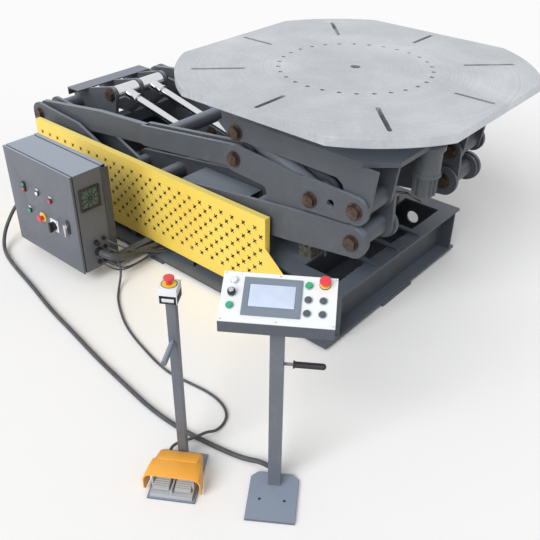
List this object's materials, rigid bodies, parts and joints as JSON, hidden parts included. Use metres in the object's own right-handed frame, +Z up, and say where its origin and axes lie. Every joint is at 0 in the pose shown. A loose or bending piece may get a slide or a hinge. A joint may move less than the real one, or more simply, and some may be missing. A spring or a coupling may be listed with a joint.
{
  "type": "welding positioner",
  "caption": "Welding positioner with a parallelogram lift, tilting head and slewing face plate, guard, control cabinet, pendant stand and foot pedal.",
  "frame": {"origin": "on the floor, under the middle of the whole set without its two loose cables", "axes": "+X towards the tilting head and its face plate, +Y away from the operator side with the guard and the cabinet, +Z up"},
  "size_m": [3.1786, 2.713, 1.201],
  "materials": {
    "frame_grey": "satin grey paint",
    "guard_yellow": "gloss yellow paint",
    "steel": "turned and ground plate",
    "pin_dark": "dark oiled steel",
    "chrome_rod": "hard chrome",
    "gear_steel": "machined",
    "motor_grey": "painted casting",
    "cabinet_grey": "powder coat",
    "black_plastic": "matt",
    "cable_black": "matt",
    "panel_light": "semi-gloss",
    "hmi_grey": "matt",
    "mix_fittings": "matt",
    "red_plastic": "gloss",
    "green_plastic": "gloss",
    "white_plastic": "gloss",
    "orange_plastic": "semi-gloss",
    "pedal_grey": "matt",
    "oil_parts": "plain"
  },
  "bodies": {
    "base": {"base_frame": "frame_grey", "tower": "frame_grey", "tower_pins": "pin_dark", "guard": "guard_yellow", "pump_cover": "frame_grey", "hydraulics": "oil_parts", "cabinet_body": "cabinet_grey", "fan_grille": "black_plastic", "cable_glands": "black_plastic", "cabinet_cables": "cable_black", "pendant_cable": "cable_black", "pedal_cable": "cable_black", "pendant_stand": "frame_grey", "pendant_grip": "black_plastic", "console_box": "hmi_grey", "console_panel": "panel_light", "hmi": "hmi_grey", "console_fittings": "mix_fittings", "pedal_stand": "frame_grey", "estop_box": "white_plastic", "pedal_body": "pedal_grey", "pedal_hood": "orange_plastic"},
    "lower_arms": {"lower_arms": "frame_grey", "lower_arm_pins": "pin_dark"},
    "upper_arms": {"upper_arms": "frame_grey"},
    "carrier": {"carriers": "frame_grey", "carrier_pins": "pin_dark"},
    "head": {"head_plate": "frame_grey", "head_frame": "frame_grey", "head_pins": "pin_dark", "slew_ring_fixed": "gear_steel", "gearmotor": "motor_grey"},
    "table": {"face_plate": "steel", "slew_gear": "gear_steel"},
    "pinion": {"drive_pinion": "gear_steel"},
    "lift_rods": {"lift_rods": "chrome_rod"},
    "lift_barrels": {"lift_barrels": "frame_grey"},
    "tilt_rods": {"tilt_rods": "chrome_rod"},
    "tilt_barrels": {"tilt_barrels": "frame_grey"},
    "door": {"cabinet_door": "cabinet_grey", "door_fittings": "mix_fittings"},
    "door_lock": {"door_handle": "chrome_rod"},
    "main_switch": {"main_switch": "black_plastic"},
    "door_white": {"button_white": "white_plastic"},
    "door_red": {"button_red": "red_plastic"},
    "door_green": {"button_green": "green_plastic"},
    "door_dual_on": {"dual_on": "green_plastic"},
    "door_dual_off": {"dual_off": "red_plastic"},
    "door_stop": {"door_estop": "red_plastic"},
    "console_knob": {"console_knob": "black_plastic"},
    "console_green_a": {"console_green_a": "green_plastic"},
    "console_green_b": {"console_green_b": "green_plastic"},
    "console_stop": {"console_estop": "red_plastic"},
    "stand_stop": {"stand_estop": "red_plastic"},
    "pedal_left": {"pedal_left": "black_plastic"},
    "pedal_right": {"pedal_right": "black_plastic"},
    "console_dark_1": {"console_dark_1": "black_plastic"},
    "console_dark_2": {"console_dark_2": "black_plastic"},
    "console_dark_3": {"console_dark_3": "black_plastic"},
    "console_dark_4": {"console_dark_4": "black_plastic"}
  },
  "joints": [
    {"name": "lift", "type": "hinge", "parent": "base", "child": "lower_arms", "pos_m": [-0.7333, 0.54449, 0.367], "axis": [0, -1, 0], "range_deg": [0, 38]},
    {"name": "upper_arm_pivot", "type": "hinge", "parent": "base", "child": "upper_arms", "pos_m": [-1.5063, 0.54449, 0.549], "axis": [0, -1, 0], "range_deg": [0, 38]},
    {"name": "carrier_pivot", "type": "hinge", "parent": "lower_arms", "child": "carrier", "pos_m": [1.0467, 0.54449, 0.594], "axis": [0, 1, 0], "range_deg": [0, 38]},
    {"name": "head_tilt", "type": "hinge", "parent": "carrier", "child": "head", "pos_m": [1.0507, 0.54449, 0.763], "axis": [0, 1, 0], "range_deg": [0, 45]},
    {"name": "table_turn", "type": "hinge", "parent": "head", "child": "table", "pos_m": [0.6107, 0.54449, 1.18], "axis": [0, 0, 1], "continuous": true},
    {"name": "pinion_turn", "type": "hinge", "parent": "head", "child": "pinion", "pos_m": [1.14166, 0.44128, 1.1], "axis": [0, 0, 1], "continuous": true},
    {"name": "lift_rod_pivot", "type": "hinge", "parent": "base", "child": "lift_rods", "pos_m": [-1.1443, 0.54449, 0.68], "axis": [0, -1, 0], "range_deg": [0, 27]},
    {"name": "lift_barrel_pivot", "type": "hinge", "parent": "lower_arms", "child": "lift_barrels", "pos_m": [0.27891, 0.54449, 0.37749], "axis": [0, -1, 0], "range_deg": [-12, 0]},
    {"name": "tilt_barrel_pivot", "type": "hinge", "parent": "carrier", "child": "tilt_barrels", "pos_m": [0.7927, 0.54449, 0.733], "axis": [0, 1, 0], "range_deg": [0, 57]},
    {"name": "tilt_rod_pivot", "type": "hinge", "parent": "head", "child": "tilt_rods", "pos_m": [0.2887, 0.54449, 0.925], "axis": [0, 1, 0], "range_deg": [0, 12]},
    {"name": "door_hinge", "type": "hinge", "parent": "base", "child": "door", "pos_m": [-0.9643, -0.58566, 0.38], "axis": [0, 0, -1], "range_deg": [0, 110]},
    {"name": "door_lock_turn", "type": "hinge", "parent": "door", "child": "door_lock", "pos_m": [-0.4293, -0.60581, 0.362], "axis": [0, -1, 0], "range_deg": [0, 90]},
    {"name": "main_switch_turn", "type": "hinge", "parent": "door", "child": "main_switch", "pos_m": [-0.5523, -0.60581, 0.317], "axis": [0, -1, 0], "range_deg": [0, 90]},
    {"name": "white_press", "type": "slide", "parent": "door", "child": "door_white", "axis": [0, 1, 0], "range_m": [0, 0.003], "stiffness_N_per_m": 300},
    {"name": "red_press", "type": "slide", "parent": "door", "child": "door_red", "axis": [0, 1, 0], "range_m": [0, 0.003], "stiffness_N_per_m": 300},
    {"name": "green_press", "type": "slide", "parent": "door", "child": "door_green", "axis": [0, 1, 0], "range_m": [0, 0.003], "stiffness_N_per_m": 300},
    {"name": "dual_on_press", "type": "slide", "parent": "door", "child": "door_dual_on", "axis": [0, 1, 0], "range_m": [0, 0.003], "stiffness_N_per_m": 300},
    {"name": "dual_off_press", "type": "slide", "parent": "door", "child": "door_dual_off", "axis": [0, 1, 0], "range_m": [0, 0.003], "stiffness_N_per_m": 300},
    {"name": "door_stop_press", "type": "slide", "parent": "door", "child": "door_stop", "axis": [0, 1, 0], "range_m": [0, 0.005], "stiffness_N_per_m": 600},
    {"name": "console_knob_turn", "type": "hinge", "parent": "base", "child": "console_knob", "pos_m": [1.2382, -1.04366, 0.93836], "axis": [0.2388, -0.3487, 0.9063], "range_deg": [-135, 135]},
    {"name": "console_green_a_press", "type": "slide", "parent": "base", "child": "console_green_a", "axis": [-0.2388, 0.3487, -0.9063], "range_m": [0, 0.003], "stiffness_N_per_m": 300},
    {"name": "console_green_b_press", "type": "slide", "parent": "base", "child": "console_green_b", "axis": [-0.2388, 0.3487, -0.9063], "range_m": [0, 0.003], "stiffness_N_per_m": 300},
    {"name": "console_dark_1_press", "type": "slide", "parent": "base", "child": "console_dark_1", "axis": [-0.2388, 0.3487, -0.9063], "range_m": [0, 0.003], "stiffness_N_per_m": 300},
    {"name": "console_dark_2_press", "type": "slide", "parent": "base", "child": "console_dark_2", "axis": [-0.2388, 0.3487, -0.9063], "range_m": [0, 0.003], "stiffness_N_per_m": 300},
    {"name": "console_dark_3_press", "type": "slide", "parent": "base", "child": "console_dark_3", "axis": [-0.2388, 0.3487, -0.9063], "range_m": [0, 0.003], "stiffness_N_per_m": 300},
    {"name": "console_dark_4_press", "type": "slide", "parent": "base", "child": "console_dark_4", "axis": [-0.2388, 0.3487, -0.9063], "range_m": [0, 0.003], "stiffness_N_per_m": 300},
    {"name": "console_stop_press", "type": "slide", "parent": "base", "child": "console_stop", "axis": [-0.2388, 0.3487, -0.9063], "range_m": [0, 0.004], "stiffness_N_per_m": 600},
    {"name": "stand_stop_press", "type": "slide", "parent": "base", "child": "stand_stop", "axis": [0, 0, -1], "range_m": [0, 0.005], "stiffness_N_per_m": 600},
    {"name": "pedal_left_press", "type": "hinge", "parent": "base", "child": "pedal_left", "pos_m": [1.05168, -1.18998, 0.06], "axis": [0.8434, 0.5373, 0], "range_deg": [0, 3], "stiffness_Nm_per_rad": 60},
    {"name": "pedal_right_press", "type": "hinge", "parent": "base", "child": "pedal_right", "pos_m": [1.05168, -1.18998, 0.06], "axis": [0.8434, 0.5373, 0], "range_deg": [0, 3], "stiffness_Nm_per_rad": 60}
  ],
  "couplings": [
    {"joint": "upper_arm_pivot", "follows": "lift", "ratio": 1},
    {"joint": "carrier_pivot", "follows": "lift", "ratio": 1},
    {"joint": "lift_rod_pivot", "follows": "lift", "ratio": 0.7004},
    {"joint": "lift_barrel_pivot", "follows": "lift", "ratio": -0.2996},
    {"joint": "tilt_barrel_pivot", "follows": "head_tilt", "ratio": 1.2631},
    {"joint": "tilt_rod_pivot", "follows": "head_tilt", "ratio": 0.2631},
    {"joint": "pinion_turn", "follows": "table_turn", "ratio": -6}
  ]
}
